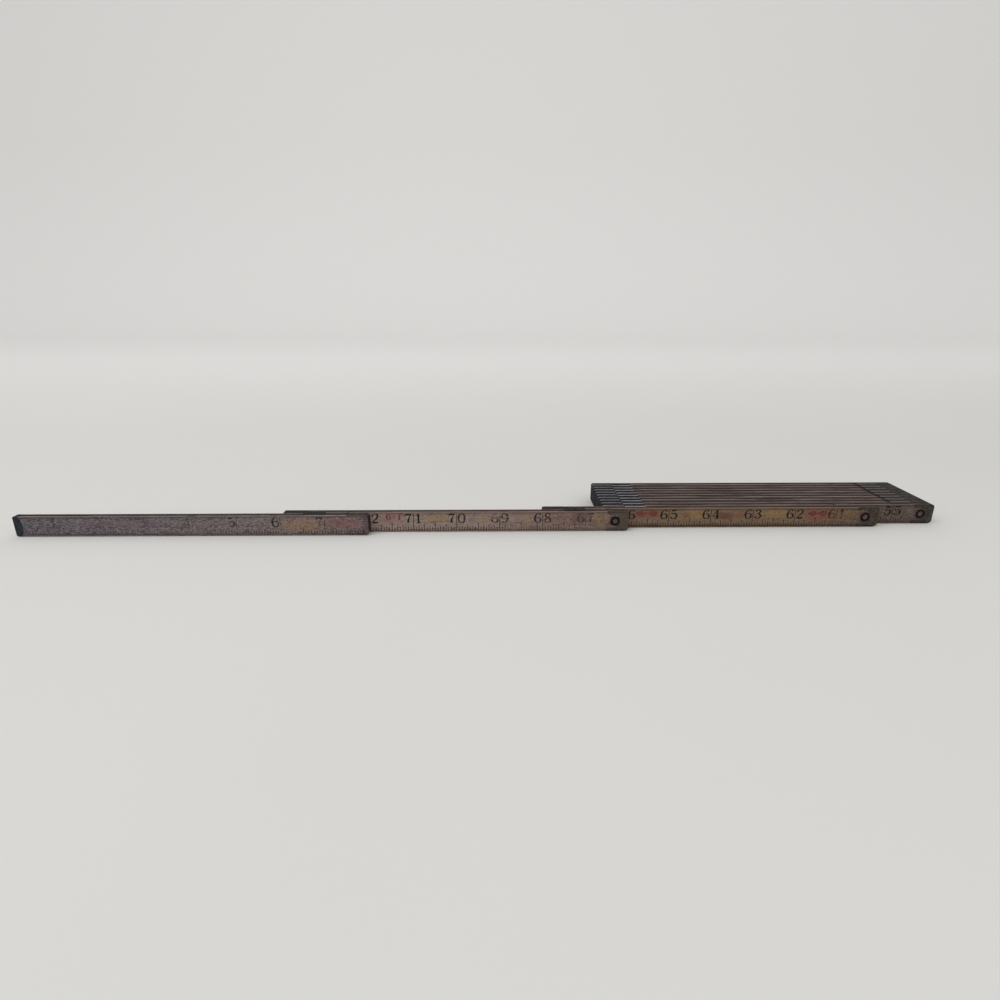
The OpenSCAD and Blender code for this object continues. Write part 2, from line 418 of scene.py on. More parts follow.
@dataclass(frozen=True)
class WornWood:
    """Old varnished wood, dark with handling and worn through in patches, with painted shade and painted highlights
    along its top edge.
    """

    tones: tuple[Stop, ...]
    dark: Colour
    light: Colour
    patch: Colour
    edge: Colour
    patchiness: float = 0.5
    speckle: float = 0.3
    seed: float = 0.0
    stains: tuple[Stain, ...] = ()
    roughness: float = 0.62
    stripe: Colour = (0.2, 0.16, 0.15, 1.0)
    groove: float = 0.35
    ridge: float = 0.8
    mouth: float = 0.0
    arris: float = 0.7 * MM
    band: float = 2.1 * MM
    relief: float = 0.12 * MM
    gloss: float = 0.1

    def material(self, name: str, groups: Groups, gauge: Gauge) -> Material:
        """Builds the material.

        Args:
            name: Its name.
            groups: Shared node groups.
            gauge: Where the blade lies.

        Returns:
            The material.
        """
        material, wire, shader, place = start_material(name)
        spot = place.outputs["Object"]
        seed = (self.seed * 3.1, self.seed * 7.7, self.seed * 5.3)
        grain = wire.group(groups.grain, {"Vector": spot, "Seed": seed})
        edges = wire.group(groups.edges, gauge.edge_inputs(spot, self.arris, self.band))
        along = wire.share(wire.split(spot)["X"], gauge.left, gauge.right)
        colour = wire.mix(1.0, wire.ramp(along, self.tones), TONE_LIFT, "MULTIPLY")
        for mask, low, high, share, over in (
            ("Blotch", 0.48, 0.6, self.patchiness, self.patch), ("Streak", 0.52, 0.66, 0.5, self.dark),
            ("Fibre", 0.54, 0.7, 0.4, self.light), ("Speck", 0.5, 0.64, self.speckle, self.dark),
            ("Speck", 0.5, 0.37, self.speckle, self.light),
        ):
            colour = wire.mix(wire.span(grain[mask], low, high, 0.0, share), colour, over)
        for stain_or_shadow in self.stains:
            mask = wire.group(groups.spot, {
                "Vector": spot, "X": gauge.left + stain_or_shadow.at * MM, "Z": gauge.bottom + stain_or_shadow.height * MM,
                "Long": stain_or_shadow.long * MM, "High": stain_or_shadow.high * MM,
            })["Mask"]
            grit = wire.span(grain["Speck"], 0.38, 0.62, stain_or_shadow.strength * 1.25, stain_or_shadow.strength * 0.5)
            colour = wire.mix(wire.times(mask, grit), colour, tone(stain_or_shadow.red, stain_or_shadow.green, stain_or_shadow.blue))
        bands = wire.math("MAXIMUM", edges["Upper"], edges["Lower"])
        bands = wire.times(bands, wire.span(grain["Blotch"], 0.3, 0.6, 0.35, 0.85))
        colour = wire.mix(bands, colour, self.dark)
        edge = wire.mix(wire.span(grain["Streak"], 0.44, 0.58), self.edge, self.dark)
        reddish = wire.times(wire.span(grain["Blotch"], 0.45, 0.6), wire.span(along, 0.2, 0.9, 0.15, 0.7))
        edge = wire.mix(reddish, edge, self.stripe)
        aside = wire.math("ABSOLUTE", wire.minus(edges["Across"], 0.5))
        # Painted shade in the groove along the middle of the top edge.
        edge = wire.mix(wire.span(aside, 0.2, 0.13, 0.0, self.groove), edge, GROOVE_SHADE)
        edge = wire.mix(wire.times(edges["Shade"], self.ridge), edge, SHADE_DARK)
        # Light line along the front arris of the top, partly worn and partly painted highlight.
        patchy = wire.span(grain["Streak"], 0.42, 0.58, self.ridge * 1.2, self.ridge * 0.15)
        edge = wire.mix(wire.times(edges["Line"], patchy, clamp=True), edge, RUBBED_HIGHLIGHT_LINE)
        # Painted shadow line at the step where the right channel ends on the top of the wood.
        if self.mouth:
            aside = wire.math("ABSOLUTE", wire.minus(wire.split(spot)["X"], gauge.right - MOUTH_SETBACK))
            edge = wire.mix(wire.span(aside, MOUTH_EDGE, MOUTH_CORE, 0.0, self.mouth), edge, MOUTH_SHADOW)
        facing = wire.math("ABSOLUTE", wire.split(place.outputs["Normal"])["Z"])
        colour = wire.mix(wire.span(facing, 0.45, 0.8), colour, edge)
        rub = wire.times(edges["Arris"], wire.span(grain["Blotch"], 0.35, 0.6, 0.15, 0.8))
        relief = wire.plus(grain["Fibre"], wire.times(grain["Speck"], 0.7))
        wire.fill(shader, {
            "Base Color": wire.mix(rub, colour, self.light),
            "Roughness": wire.span(grain["Blotch"], 0.2, 0.8, self.roughness - 0.1, self.roughness + 0.14),
            "Normal": wire.bump(relief, 0.35, self.relief),
            "Specular IOR Level": self.gloss,
        })
        return material


@dataclass(frozen=True)
class Tarnish:
    """Sheet metal with a dark, uneven skin and bright worn arrises, with painted shade between the blades' tops and
    painted highlights on their front arrises and folds.
    """

    base: Colour
    cloud: Colour
    worn: Colour
    soot: Colour
    rub: float = 0.7
    fold: float = 2.3 * MM
    lines: float = 0.8
    cap_lines: float = 0.7
    roughness: float = 0.42
    metallic: float = 0.75
    seed: float = 0.0
    smudge: Colour | None = None
    arris: float = 0.5 * MM
    band: float = 1.2 * MM
    relief: float = 0.08 * MM
    gloss: float = 0.15

    def material(self, name: str, groups: Groups, gauge: Gauge) -> Material:
        """Builds the material.

        Args:
            name: Its name.
            groups: Shared node groups.
            gauge: Where the blade lies.

        Returns:
            The material.
        """
        material, wire, shader, place = start_material(name)
        spot, normal = place.outputs["Object"], wire.split(place.outputs["Normal"])
        seed = (self.seed * 2.3, self.seed * 4.9, self.seed * 8.1)
        skin = wire.group(groups.patina, {"Vector": spot, "Seed": seed})
        edges = wire.group(groups.edges, {**gauge.edge_inputs(spot, self.arris, self.band), "Fold": self.fold})
        colour = wire.mix(wire.span(skin["Cloud"], 0.38, 0.66), self.base, self.cloud)
        colour = wire.mix(wire.span(skin["Pit"], 0.55, 0.7, 0.0, 0.6), colour, self.soot)
        colour = wire.mix(wire.span(skin["Scratch"], 0.6, 0.75, 0.0, 0.35), colour, self.worn)
        if self.smudge:
            upright = wire.span(wire.math("ABSOLUTE", normal["Y"]), 0.5, 0.9)
            smear = wire.times(upright, wire.span(skin["Cloud"], 0.36, 0.6, 0.25, 0.95))
            colour = wire.mix(smear, colour, self.smudge)
            rims = wire.times(wire.math("MAXIMUM", edges["Upper"], edges["Lower"]), 0.7)
            dirt = wire.math("MAXIMUM", rims, wire.span(skin["Pit"], 0.5, 0.66, 0.0, 0.75))
            colour = wire.mix(wire.times(upright, dirt), colour, self.soot)
        # Painted shade on the tops behind each front arris, between the blades, with its own strength on the raised
        # folds.
        extra = wire.times(edges["Raised"], self.lines - self.cap_lines)
        flat = wire.times(wire.span(normal["Z"], 0.2, 0.7), wire.plus(extra, self.cap_lines))
        colour = wire.mix(wire.times(edges["Shade"], flat), colour, self.soot)
        rub = wire.times(edges["Arris"], wire.span(skin["Cloud"], 0.3, 0.55, 0.3, 1.0))
        colour = wire.mix(wire.times(rub, self.rub), colour, self.worn)
        # Light line along each front arris of the tops, partly worn and partly painted highlight.
        line = wire.times(wire.times(edges["Line"], flat), wire.span(skin["Cloud"], 0.35, 0.5, 0.5, 1.0))
        colour = wire.mix(line, colour, self.worn)
        # Painted highlight on the front-facing faces of the raised folds.
        step = wire.times(wire.span(normal["Y"], -0.3, -0.8), edges["Raised"])
        relief = wire.plus(skin["Pit"], wire.times(skin["Scratch"], 0.6))
        wire.fill(shader, {
            "Base Color": wire.mix(wire.times(step, self.lines), colour, self.worn),
            "Roughness": wire.span(skin["Cloud"], 0.2, 0.8, self.roughness - 0.08, self.roughness + 0.16),
            "Normal": wire.bump(relief, 0.25, self.relief),
            "Metallic": self.metallic,
            "Specular IOR Level": self.gloss,
            "Specular Tint": METAL_TINT,
        })
        return material


@dataclass(frozen=True)
class Ink:
    """Printing ink that has rubbed away in places."""

    colour: Colour
    worn: float
    fade: tuple[tuple[float, float], ...] = ((0.0, 0.0), (1.0, 0.0))
    seed: float = 0.0

    def material(self, name: str, groups: Groups, gauge: Gauge) -> Material:
        """Builds the material.

        Args:
            name: Its name.
            groups: Shared node groups.
            gauge: Where the blade lies.

        Returns:
            The material.
        """
        material, wire, shader, place = start_material(name)
        spot = place.outputs["Object"]
        seed = (self.seed * 6.1, self.seed * 1.9, self.seed * 3.7)
        grain = wire.group(groups.grain, {"Vector": spot, "Seed": seed})
        along = wire.share(wire.split(spot)["X"], gauge.left, gauge.right)
        fade = wire.ramp(along, tuple((at, (value, value, value, 1.0)) for at, value in self.fade))
        loss = wire.plus(wire.times(grain["Speck"], 0.45), wire.times(grain["Blotch"], 0.55))
        limit = wire.minus(0.72 - self.worn, wire.times(fade, 0.34))
        wire.fill(shader, {
            "Alpha": wire.span(wire.minus(limit, loss), -0.07, 0.07, 0.12, 0.94),
            "Base Color": wire.mix(wire.span(grain["Fibre"], 0.4, 0.7, 0.0, 0.4), self.colour, BARE_WOOD),
            "Roughness": 0.7,
            "Specular IOR Level": 0.2,
        })
        return material


# Each sign is one to four pen strokes on a cell one unit high. A stroke's points are x in hundredths of
# that unit, and height and half the pen's width there in thousandths.
NUMERALS: dict[str, tuple[Stroke, ...]] = {
    "0": (((34, 980, 25), (14, 860, 55), (7, 500, 75), (14, 140, 55), (34, 20, 25), (54, 140, 55), (61, 500, 75),
          (54, 860, 55), (34, 980, 25)),),
    "1": (((14, 800, 20), (24, 860, 30), (35, 980, 40)), ((35, 970, 75), (35, 500, 75), (35, 40, 75)), ((14, 30, 25),
          (35, 30, 30), (56, 30, 25))),
    "2": (((12, 700, 90), (14, 860, 45), (33, 970, 30), (53, 880, 60), (56, 700, 75), (44, 480, 60), (22, 240, 35),
          (9, 70, 30)), ((8, 70, 60), (30, 80, 75), (52, 60, 60), (60, 200, 25))),
    "3": (((13, 780, 85), (18, 900, 40), (34, 970, 30), (50, 880, 60), (52, 730, 70), (42, 580, 40), (27, 540, 25)),
          ((27, 540, 25), (46, 500, 45), (59, 320, 80), (50, 100, 55), (32, 20, 30), (14, 100, 45), (10, 240, 85))),
    "4": (((46, 970, 30), (26, 640, 30), (5, 290, 25)), ((5, 280, 30), (35, 280, 30), (64, 280, 30)), ((46, 970, 70),
          (46, 500, 75), (46, 30, 75)), ((30, 25, 25), (46, 25, 25), (62, 25, 25))),
    "5": (((58, 950, 30), (40, 920, 65), (17, 940, 50)), ((17, 960, 25), (15, 750, 25), (13, 520, 25)),
          ((13, 520, 25), (32, 620, 35), (52, 540, 60), (60, 340, 80), (52, 120, 55), (33, 20, 30), (14, 100, 45),
          (10, 240, 85))),
    "6": (((55, 830, 75), (50, 930, 40), (37, 970, 25), (17, 800, 55), (8, 450, 78), (16, 120, 55), (35, 20, 28),
          (54, 120, 55), (60, 310, 75), (52, 500, 55), (36, 580, 28), (18, 480, 30), (11, 360, 30)),),
    "7": (((9, 740, 30), (13, 900, 50), (33, 900, 70), (60, 950, 35)), ((60, 950, 30), (45, 660, 40), (34, 360, 70),
          (31, 50, 85))),
    "8": (((34, 980, 28), (16, 880, 55), (15, 700, 60), (34, 550, 65), (55, 360, 75), (55, 140, 55), (34, 20, 28),
          (12, 130, 55), (11, 320, 55), (30, 520, 35), (50, 680, 40), (51, 870, 45), (34, 980, 28)),),
    "9": (((13, 170, 75), (18, 70, 40), (31, 30, 25), (51, 200, 55), (60, 550, 78), (52, 880, 55), (33, 980, 28),
          (14, 880, 55), (8, 690, 75), (16, 500, 55), (32, 420, 28), (50, 520, 30), (57, 640, 30)),),
    "-": (((10, 450, 45), (50, 450, 45)),),
    "F": (((16, 970, 30), (16, 500, 75), (16, 30, 75)), ((5, 950, 30), (35, 950, 35), (58, 930, 60)), ((16, 520, 30),
          (32, 520, 30), (44, 520, 50)), ((4, 30, 30), (30, 30, 30))),
}
NUMERAL_SPAN = 0.68
STEPS_A_SPAN = 4
# Half of a feathered arrow's height, as a share of the height, at these shares of its length.
ARROW = ((0.0, 0.03), (0.16, 0.3), (0.34, 0.5), (0.37, 0.2), (0.62, 0.16), (0.7, 0.4), (0.86, 0.46), (1.0, 0.25))


def eased(points: list[tuple[float, float, float]]) -> list[Vector]:
    """Runs a smooth curve through a stroke's points.

    Args:
        points: The stroke's points.

    Returns:
        Points along the curve.
    """
    knots = [Vector(point) for point in points]
    if len(knots) < 3:
        return knots
    closed = (knots[0] - knots[-1]).length < 1e-6
    before = knots[-2] if closed else knots[0] * 2 - knots[1]
    after = knots[1] if closed else knots[-1] * 2 - knots[-2]
    knots = [before, *knots, after]
    line: list[Vector] = []
    for number in range(1, len(knots) - 2):
        p0, p1, p2, p3 = knots[number - 1 : number + 3]
        for step in range(STEPS_A_SPAN):
            t = step / STEPS_A_SPAN
            curve = 2 * p1 + (p2 - p0) * t + (2 * p0 - 5 * p1 + 4 * p2 - p3) * t * t
            line.append(0.5 * (curve + (3 * p1 - p0 - 3 * p2 + p3) * t**3))
    line.append(knots[-2])
    return line


@dataclass
class Print:
    """Thin printed shapes on one face of one blade."""

    origin: Vector
    along: Vector
    thickness: float = 0.02 * MM
    mesh: Shape = field(default_factory=bmesh.new)

    @classmethod
    def on_face(cls, number: int, gauge: Gauge, side: Side) -> "Print":
        """Starts a print on one face of a blade.

        Args:
            number: The blade.
            gauge: Where it lies.
            side: The face.

        Returns:
            The empty print.
        """
        front = gauge.first + (number - 1) * gauge.pitch
        if side is Side.FRONT:
            return cls(Vector((gauge.left, front + PRINT_DEPTH, gauge.bottom)), Vector((1.0, 0.0, 0.0)))
        return cls(Vector((gauge.right, front + gauge.depth - PRINT_DEPTH, gauge.bottom)), Vector((-1.0, 0.0, 0.0)))

    def place(self, x: float, z: float) -> Vector:
        """Returns the point x along the print and z above its lower edge."""
        return self.origin + self.along * x + Vector((0.0, 0.0, z))

    def stroke(self, x: float, z: float, wide: float, high: float, points: list[tuple[float, float, float]]) -> None:
        """Draws one pen stroke by extruding its first edge along it.

        Args:
            x: Left of the numeral.
            z: Foot of the numeral.
            wide: Width of one unit.
            high: Height of one unit.
            points: The stroke's points.
        """
        line = eased(points)
        rails: list[tuple[Vector, Vector]] = []
        for number, point in enumerate(line):
            ahead = line[min(number + 1, len(line) - 1)] - line[max(number - 1, 0)]
            course = Vector((ahead.x * wide, ahead.y * high)).normalized()
            half = point.z * high
            middle = Vector((x + point.x * wide, z + point.y * high))
            normal = Vector((-course.y, course.x)) * half
            rails.append((self.place(*(middle + normal)), self.place(*(middle - normal))))
        ends = [self.mesh.verts.new(corner) for corner in rails[0]]
        edge = self.mesh.edges.new(ends)
        for left, right in rails[1:]:
            grown = bmesh.ops.extrude_edge_only(self.mesh, edges=[edge])["geom"]
            added = [item for item in grown if isinstance(item, bmesh.types.BMEdge)]
            edge = next(item for item in added if all(v in grown for v in item.verts))
            fresh = list(edge.verts)
            links = {v: next(e.other_vert(v) for e in v.link_edges if e.other_vert(v) in ends) for v in fresh}
            ends = [next(v for v in fresh if links[v] is end) for end in ends]
            ends[0].co, ends[1].co = left, right

    def numeral(self, sign: str, x: float, z: float, wide: float, high: float, pen: float = 1.0) -> None:
        """Draws one sign with its left edge at x and its foot at z, with a pen of this weight."""
        for points in NUMERALS[sign]:
            self.stroke(x, z, wide / NUMERAL_SPAN, high, [(a / 100, b / 1000, c / 1000 * pen) for a, b, c in points])

    def arrow(self, x: float, z: float, long: float, high: float) -> None:
        """Draws a feathered arrow that points left, from x and with its middle at z."""
        self.stroke(x, z, 1.0, 1.0, [(at * long, 0.0, half * high) for at, half in ARROW])

    def tick(self, x: float, low: float, high: float, width: float) -> None:
        """Draws one upright line."""
        self.stroke(x, low, 1.0, 1.0, [(0.0, 0.0, width / 2), (0.0, high - low, width / 2)])

    def finish(self, name: str, material: Material, body: str) -> bpy.types.Object:
        """Gives the print its thickness and makes it an object.

        Args:
            name: The object's name.
            material: Its finish.
            body: The body that it rides on.

        Returns:
            The object.
        """
        outward = Vector((self.along.y, -self.along.x, 0.0))
        for face in self.mesh.faces:
            face.normal_update()
            if face.normal.dot(outward) < 0:
                face.normal_flip()
        faces = bmesh.ops.extrude_face_region(self.mesh, geom=list(self.mesh.faces), use_keep_orig=True)["geom"]
        raised = [item for item in faces if isinstance(item, bmesh.types.BMVert)]
        bmesh.ops.translate(self.mesh, verts=raised, vec=outward * self.thickness)
        bmesh.ops.recalc_face_normals(self.mesh, faces=list(self.mesh.faces))
        return make_object(name, self.mesh, [material], body)


def make_object(name: str, shape: Shape, materials: list[Material], body: str) -> bpy.types.Object:
    """Turns a bmesh into an object that rides on a body.

    Args:
        name: The object's name.
        shape: Its mesh, freed afterwards.
        materials: Its materials.
        body: The body that it rides on.

    Returns:
        The object.
    """
    mesh = bpy.data.meshes.new(name)
    shape.to_mesh(mesh)
    shape.free()
    for material in materials:
        mesh.materials.append(material)
    thing = bpy.data.objects.new(name, mesh)
    bpy.context.scene.collection.objects.link(thing)
    if body:
        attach(thing, body)
        LOG.info("%s rides on %s, %d faces", name, body, len(mesh.polygons))
    return thing


@dataclass
class Scale:
    """Inch scale of one blade's face: sixteenths along its foot and numerals above them."""

    number: int
    side: Side
    gauge: Gauge
    cap: float = 12.7 * MM
    channel: float = 12.7 * MM
    foot: float = 0.35 * MM
    sixteenth: float = 2.7 * MM
    eighth: float = 3.4 * MM
    quarter: float = 4.3 * MM
    half: float = 5.8 * MM
    inch: float = 10.8 * MM
    tick_width: float = 0.36 * MM
    line_width: float = 0.38 * MM
    numeral_foot: float = 5.2 * MM
    numeral_high: float = 5.9 * MM
    numeral_wide: float = 4.55 * MM
    numeral_gap: float = 0.65 * MM
    pen: float = 1.28
    tip: float = 4.9 * MM
    tail: float = 1.6 * MM
    tick_margin: float = 0.3 * MM
    numeral_slack: float = 0.2 * MM

    def value_at(self, inches: int) -> int:
        """Returns the number printed this many inches from the print's left end."""
        front = inches if self.number == 1 else TRAVEL_INCHES * (BLADE_COUNT + 1 - self.number) + BLADE_INCHES - inches
        return front if self.side is Side.FRONT else TRAVEL_INCHES * (BLADE_COUNT - self.number) + inches

    def tick_top(self, count: int) -> float:
        """Returns the height of the tick at this sixteenth."""
        tops = ((16, self.inch), (8, self.half), (4, self.quarter), (2, self.eighth), (1, self.sixteenth))
        return next(top for every, top in tops if count % every == 0)

    def limits(self) -> tuple[float, float]:
        """Works out where the wood of this face shows.

        Returns:
            Its start and its end, from the print's left end.
        """
        length = self.gauge.right - self.gauge.left
        reach = self.cap + self.channel
        if self.side is Side.FRONT:
            return (self.tip, length - self.tail) if self.number == 1 else (reach, length - self.cap)
        if self.number == 1:
            return reach, length - self.tip
        return (self.cap if self.number == BLADE_COUNT else reach), length - self.cap

    def build(self, material: Material) -> bpy.types.Object:
        """Prints the scale.

        Args:
            material: The ink.

        Returns:
            The printed piece.
        """
        printed = Print.on_face(self.number, self.gauge, self.side)
        start, end = self.limits()
        for count in range(1, BLADE_INCHES * SIXTEENTHS):
            x = count * INCH / SIXTEENTHS
            if start + self.tick_margin < x < end - self.tick_margin:
                width = self.tick_width if count % SIXTEENTHS else self.line_width
                printed.tick(x, self.foot, self.tick_top(count), width)
        for inches in range(1, BLADE_INCHES):
            self.label(printed, inches, start, end)
        name = f"scale_{self.side.value}_{self.number:02d}"
        return printed.finish(name, material, f"stick_{self.number:02d}")

    def label(self, printed: Print, inches: int, start: float, end: float) -> None:
        """Prints one number at its inch line, the tens left of the line and the units right of it.

        Args:
            printed: The print.
            inches: Place of the line.
            start: Start of the wood.
            end: End of the wood.
        """
        x = inches * INCH
        lefts = (x - self.numeral_gap - self.numeral_wide, x + self.numeral_gap)
        for sign, left in zip(str(self.value_at(inches)), lefts):
            if left > start - self.numeral_slack and left + self.numeral_wide < end + self.numeral_slack:
                printed.numeral(sign, left, self.numeral_foot, self.numeral_wide, self.numeral_high, self.pen)


@dataclass
class Eyelet:
    """Hollow rivet through a blade's cap, with a rolled head on each face."""

    head: float = 2.9 * MM
    shank: float = 2.0 * MM
    bore: float = 1.5 * MM
    proud: float = 0.3 * MM
    dish: float = 0.38 * MM
    seat: float = 0.05 * MM
    segments: int = 48

    def head_line(self) -> list[tuple[float, float]]:
        """Draws half a section of a head, from the shank out, over the roll and into the dish.

        Returns:
            Radius and height above the face of each point.
        """
        roll = [(self.shank, -self.seat), (self.head - 0.06 * MM, -self.seat), (self.head, 0.02 * MM)]
        middle = (self.head + self.bore) / 2
        reach = self.head - middle
        for step in range(1, 8):
            angle = math.pi * step / 8
            roll.append((middle + reach * math.cos(angle), self.proud * math.sin(angle) ** 0.8))
        floor = self.proud - self.dish
        roll += [(self.bore, -0.02 * MM), (self.bore - 0.04 * MM, floor - 0.08 * MM)]
        return roll + [(self.bore * 0.5, floor - 0.13 * MM), (0.0, floor - 0.1 * MM)]

    def add(self, shape: Shape, x: float, z: float, front: float, back: float, both: bool = True) -> None:
        """Spins one eyelet about its axis.

        Args:
            shape: The mesh that it joins.
            x: Place of its axis.
            z: Height of its axis.
            front: Y of the front face.
            back: Y of the back face.
            both: Whether it has a front head too, or ends in the wood at the front.
        """
        line = [(radius, back + rise) for radius, rise in reversed(self.head_line())]
        if both:
            line += [(radius, front - rise) for radius, rise in self.head_line()]
        else:
            line += [(self.shank, front), (0.0, front)]
        verts = [shape.verts.new((x + radius, y, z)) for radius, y in line]
        edges = [shape.edges.new(pair) for pair in zip(verts, verts[1:])]
        bmesh.ops.spin(shape, geom=verts + edges, cent=(x, 0.0, z), axis=(0.0, 1.0, 0.0), dvec=ORIGIN,
                       angle=2 * math.pi, steps=self.segments, use_merge=True)
        bmesh.ops.remove_doubles(shape, verts=list(shape.verts), dist=0.002 * MM)
        bmesh.ops.recalc_face_normals(shape, faces=list(shape.faces))
        for face in shape.faces:
            middle = face.calc_center_median()
            if math.hypot(middle.x - x, middle.z - z) < self.bore * 0.97:
                face.material_index = 1
            face.smooth = True


@dataclass
class Rule:
    """The whole rule: reads where its pieces lie and dresses them."""

    groups: Groups
    eyelet_setback: float = 7.8 * MM
    wood_bevel: float = 0.22 * MM
    metal_bevel: float = 0.09 * MM
    sharp_angle: float = 40.0
    weld_reach: float = 0.001 * MM
    blind_depth: float = 1.05 * MM
    gauges: dict[int, Gauge] = field(default_factory=dict)

    def __post_init__(self) -> None:
        """Reads each blade's place from the solids."""
        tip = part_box("tip_cap")
        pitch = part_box("left_channel_03")[0][1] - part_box("left_channel_02")[0][1]
        depth = tip[1][1] - tip[0][1]
        first = tip[0][1]
        for number in range(1, BLADE_COUNT + 1):
            ends = "tip_cap" if number == 1 else f"left_channel_{number:02d}"
            stop = f"right_channel_{number:02d}" if number < BLADE_COUNT else "heel_cap"
            left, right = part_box(ends)[0][0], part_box(stop)[1][0]
            self.gauges[number] = Gauge(left, right, first, pitch, depth, tip[0][2], tip[1][2])

    def dress(self, node: str, material: Material, bevel: float) -> None:
        """Gives a CAD node its finish and softly rounded edges.

        Args:
            node: The node's name.
            material: Its finish.
            bevel: Width of the rounding.
        """
        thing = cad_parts[node]
        thing.data.materials.clear()
        thing.data.materials.append(material)
        weld = thing.modifiers.new("weld", "WELD")
        weld.merge_threshold = self.weld_reach
        rounding = thing.modifiers.new("rounding", "BEVEL")
        rounding.width = bevel
        rounding.segments = 2
        rounding.limit_method = "ANGLE"
        rounding.angle_limit = math.radians(self.sharp_angle)
        rounding.use_clamp_overlap = True
        LOG.info("%s dressed", node)

    def dirt(self, gauge: Gauge) -> tuple[Stain, ...]:
        """Returns the dark dirt round the eyelets of one blade."""
        places = (self.eyelet_setback, gauge.right - gauge.left - self.eyelet_setback)
        return tuple(Stain(at / MM, (gauge.top - gauge.bottom) / 2 / MM, 3.9, 3.9, 44, 33, 33, 0.7) for at in places)

    def finishes(self, number: int, gauge: Gauge) -> WornWood:
        """Returns the wood of one blade.

        Args:
            number: The blade, counted from the front one.
            gauge: Where it lies.

        Returns:
            Its finish.
        """
        edge, stripe = tone(98, 85, 82), tone(98, 66, 62)
        if number == 1:
            tones = ramp_of((0.0, 78, 78, 86), (0.35, 95, 91, 95), (0.7, 108, 99, 96), (0.82, 112, 98, 92),
                            (1.0, 98, 86, 84))
            marks = (
                Stain(190, 7.4, 12, 3.4, 130, 80, 80, 0.45), Stain(164, 6.5, 11, 4, 150, 112, 82, 0.5),
                Stain(201.5, 5, 2.2, 8, 58, 46, 60, 0.45), Stain(62, 7, 26, 2.6, 112, 88, 96, 0.4),
            )
            return WornWood(tones, tone(50, 43, 46), tone(148, 135, 130), tone(112, 94, 90), edge, 0.4, 0.75, 1.0,
                            marks, 0.66, groove=0.85, ridge=0.35)
        if number == 2:
            tones = ramp_of((0.0, 137, 119, 114), (0.3, 140, 123, 115), (0.6, 132, 115, 109), (0.85, 112, 96, 92),
                            (1.0, 97, 83, 78))
            marks = (
                Stain(64, 8, 10, 4, 122, 86, 85, 0.45), Stain(90, 8, 9, 3, 138, 114, 76, 0.5),
                Stain(117, 8, 7, 3, 138, 114, 76, 0.25), Stain(142, 8, 5, 3, 138, 114, 76, 0.35),
                Stain(163, 7, 18, 5, 122, 86, 85, 0.4), Stain(175, 8, 6, 4, 76, 60, 66, 0.5),
                Stain(187, 6, 5, 4, 124, 96, 58, 0.4),
            )
            return WornWood(tones, tone(62, 48, 46), tone(152, 134, 118), tone(134, 112, 88), edge, 0.45, 0.6, 2.0,
                            marks + self.dirt(gauge), stripe=stripe, groove=0.8, ridge=0.45)
        if number == 3:
            tones = ramp_of((0.0, 109, 90, 79), (0.5, 111, 92, 77), (0.8, 105, 85, 72), (0.9, 89, 74, 64),
                            (1.0, 78, 66, 59))
            marks = (
                Stain(63, 8.6, 10, 3.4, 118, 72, 58, 0.4), Stain(93, 8.2, 7, 2.8, 140, 112, 70, 0.6),
                Stain(110, 7, 5.5, 2.6, 88, 48, 40, 0.65), Stain(140, 8.4, 8.5, 3, 140, 114, 68, 0.6),
                Stain(119.5, 8, 3, 2.6, 116, 62, 50, 0.45), Stain(184, 7.8, 5, 3.4, 118, 94, 64, 0.4),
                Stain(167, 7.8, 11, 4.4, 118, 72, 58, 0.6), Stain(87, 7.4, 2, 1.5, 110, 44, 38, 0.5),
                # Painted shadow line along the foot of the face, where the blade meets the table.
                Stain(104, 0.3, 120, 1.3, 28, 21, 19, 0.62),
            )
            return WornWood(tones, tone(54, 41, 34), tone(140, 118, 92), tone(118, 95, 66), edge, 0.45, 0.6, 3.0,
                            marks + self.dirt(gauge), stripe=stripe, groove=0.7, ridge=0.5)
        tones = ramp_of((0.0, 84, 72, 68), (0.5, 88, 75, 70), (1.0, 79, 68, 63))
        lift = 1.0 + 0.07 * ((number * 7) % 5 - 2)
        edge = tone(96 * lift, 83 * lift, 80 * lift)
        return WornWood(tones, tone(46, 37, 35), tone(128, 112, 102), tone(104, 88, 66), edge, 0.5, 0.46,
                        float(number), self.dirt(gauge), stripe=stripe, ridge=STACK_RIDGES[number - 4],
                        mouth=0.85 if number > 4 else 0.0)

    def metal(self, number: int, right: bool) -> Tarnish:
        """Chooses the metal of one end of a blade.

        Args:
            number: The blade, counted from the front one.
            right: Whether it is the right end.

        Returns:
            Its finish.
        """
        seed = number + (20.0 if right else 0.0)
        if right:
            return Tarnish(tone(88, 84, 77), tone(68, 64, 58), tone(150, 142, 136), tone(26, 21, 20), 0.35, 3.95 * MM,
                           0.85, 0.12, seed=seed, smudge=SMUDGES.get(number, SMUDGE))
        if number == 1:
            return Tarnish(tone(58, 62, 68), tone(46, 50, 56), tone(96, 100, 106), tone(30, 33, 38), 0.5, 2.3 * MM,
                           0.0, 0.0, seed=seed)
        if number < 4:
            return Tarnish(tone(74, 73, 70), tone(60, 59, 57), tone(120, 118, 112), tone(30, 28, 28), 0.35, 2.3 * MM,
                           0.15, 0.1, seed=seed)
        return Tarnish(tone(59, 58, 62), tone(43, 42, 46), tone(174, 174, 180), tone(8, 7, 9), 0.5, 2.3 * MM,
                       0.98, 0.82, seed=seed)

